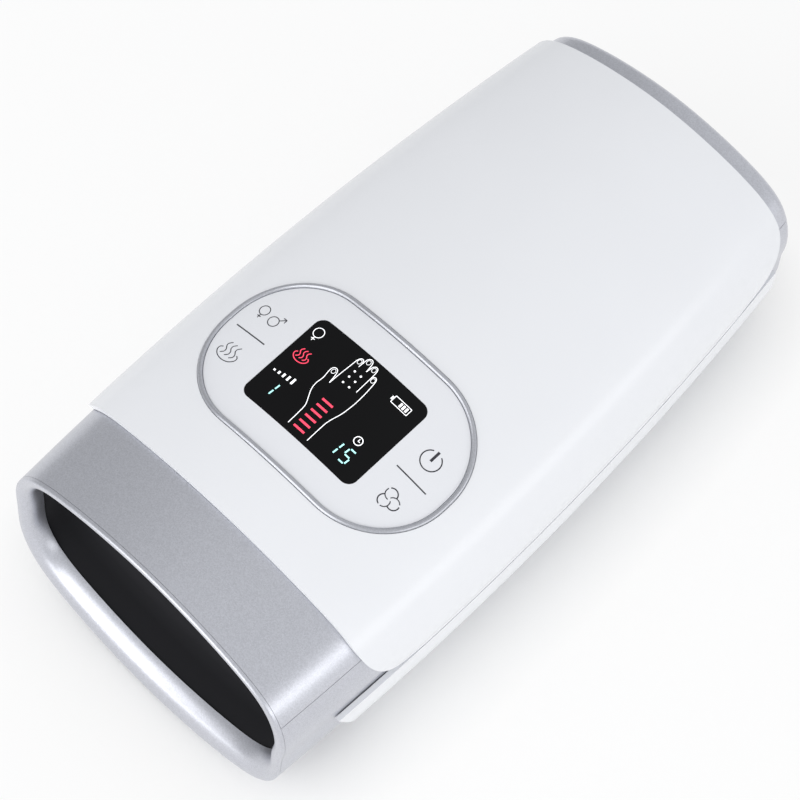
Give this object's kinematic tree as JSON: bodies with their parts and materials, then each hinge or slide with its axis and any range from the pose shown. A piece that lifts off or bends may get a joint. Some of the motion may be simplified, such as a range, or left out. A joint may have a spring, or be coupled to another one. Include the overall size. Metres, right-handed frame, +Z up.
{
  "type": "electric hand massager",
  "caption": "Cordless air-cuff hand massager: a rounded box with an open mouth for the hand, a touch panel on top and a heated studded palm plate inside.",
  "frame": {"origin": "centre of the housing's footprint, on the surface that its feet stand on", "axes": "+Z up, -Y out of the open mouth, +X to the right of a person who looks into the mouth"},
  "size_m": [0.1665, 0.3152, 0.1039],
  "materials": {
    "silver_shell": "satin metallic paint",
    "silver_trim": "satin metallic paint",
    "white_cover": "glossy",
    "black_window": "polished",
    "display": "matt",
    "circuit_board": "solder mask",
    "copper": "tinned",
    "ribbon": "film",
    "steel": "plated",
    "liner_fabric": "fine ribbed knit",
    "dark_plastic": "moulded",
    "cuff_film": "welded film",
    "plate_plastic": "moulded",
    "heater": "film",
    "rubber": "matt",
    "pump_plastic": "moulded",
    "hose_rubber": "translucent silicone",
    "cell_wrap": "shrink wrap"
  },
  "bodies": {
    "chassis": {"upper_body_shell": "silver_shell", "lower_body_shell": "silver_shell", "mouth_ring": "silver_shell", "panel_bezel": "silver_trim", "top_cover": "white_cover", "bottom_cover": "white_cover", "touch_plate": "white_cover", "display_window": "black_window", "display_module": "display", "key_board": "circuit_board", "key_pads": "copper", "display_ribbon": "ribbon", "key_board_screws": "steel", "liner": "liner_fabric", "liner_clamp": "dark_plastic", "lower_tray": "dark_plastic", "upper_tray": "dark_plastic", "finger_cuff": "cuff_film", "palm_cuff": "cuff_film", "wrist_cuff": "cuff_film", "lift_cuff": "cuff_film", "motor_can": "steel", "motor_sleeve_rear": "rubber", "motor_sleeve_front": "rubber", "pump_case": "pump_plastic", "pump_yoke": "dark_plastic", "pump_cups": "rubber", "pump_cover": "pump_plastic", "valve_block_1": "pump_plastic", "valve_block_2": "pump_plastic", "valve_block_3": "pump_plastic", "valve_spring_1": "steel", "valve_spring_2": "steel", "valve_spring_3": "steel", "valve_caps": "pump_plastic", "air_hoses": "hose_rubber", "battery_cells": "cell_wrap", "battery_holder": "dark_plastic", "main_board": "circuit_board", "charging_board": "circuit_board", "charging_socket": "steel", "case_screws": "steel", "tray_screws": "steel", "rubber_feet": "rubber"},
    "palm_lift": {"palm_plate": "plate_plastic", "heater_film": "heater"},
    "pump_rotor": {"motor_armature": "steel", "crank_disc": "dark_plastic"},
    "plunger_1": {"valve_plunger_1": "steel"},
    "plunger_2": {"valve_plunger_2": "steel"},
    "plunger_3": {"valve_plunger_3": "steel"}
  },
  "joints": [
    {"name": "palm_lift_slide", "type": "slide", "parent": "chassis", "child": "palm_lift", "axis": [0, 0, 1], "range_m": [0, 0.008], "deforming": ["lift_cuff", "liner"]},
    {"name": "pump_spin", "type": "hinge", "parent": "chassis", "child": "pump_rotor", "pos_m": [-0.045, 0.113, 0.036], "axis": [1, 0, 0], "continuous": true},
    {"name": "valve_1_slide", "type": "slide", "parent": "chassis", "child": "plunger_1", "axis": [0, 0, 1], "range_m": [0, 0.0015], "stiffness_N_per_m": 120, "deforming": ["valve_spring_1"]},
    {"name": "valve_2_slide", "type": "slide", "parent": "chassis", "child": "plunger_2", "axis": [0, 0, 1], "range_m": [0, 0.0015], "stiffness_N_per_m": 120, "deforming": ["valve_spring_2"]},
    {"name": "valve_3_slide", "type": "slide", "parent": "chassis", "child": "plunger_3", "axis": [0, 0, 1], "range_m": [0, 0.0015], "stiffness_N_per_m": 120, "deforming": ["valve_spring_3"]}
  ]
}
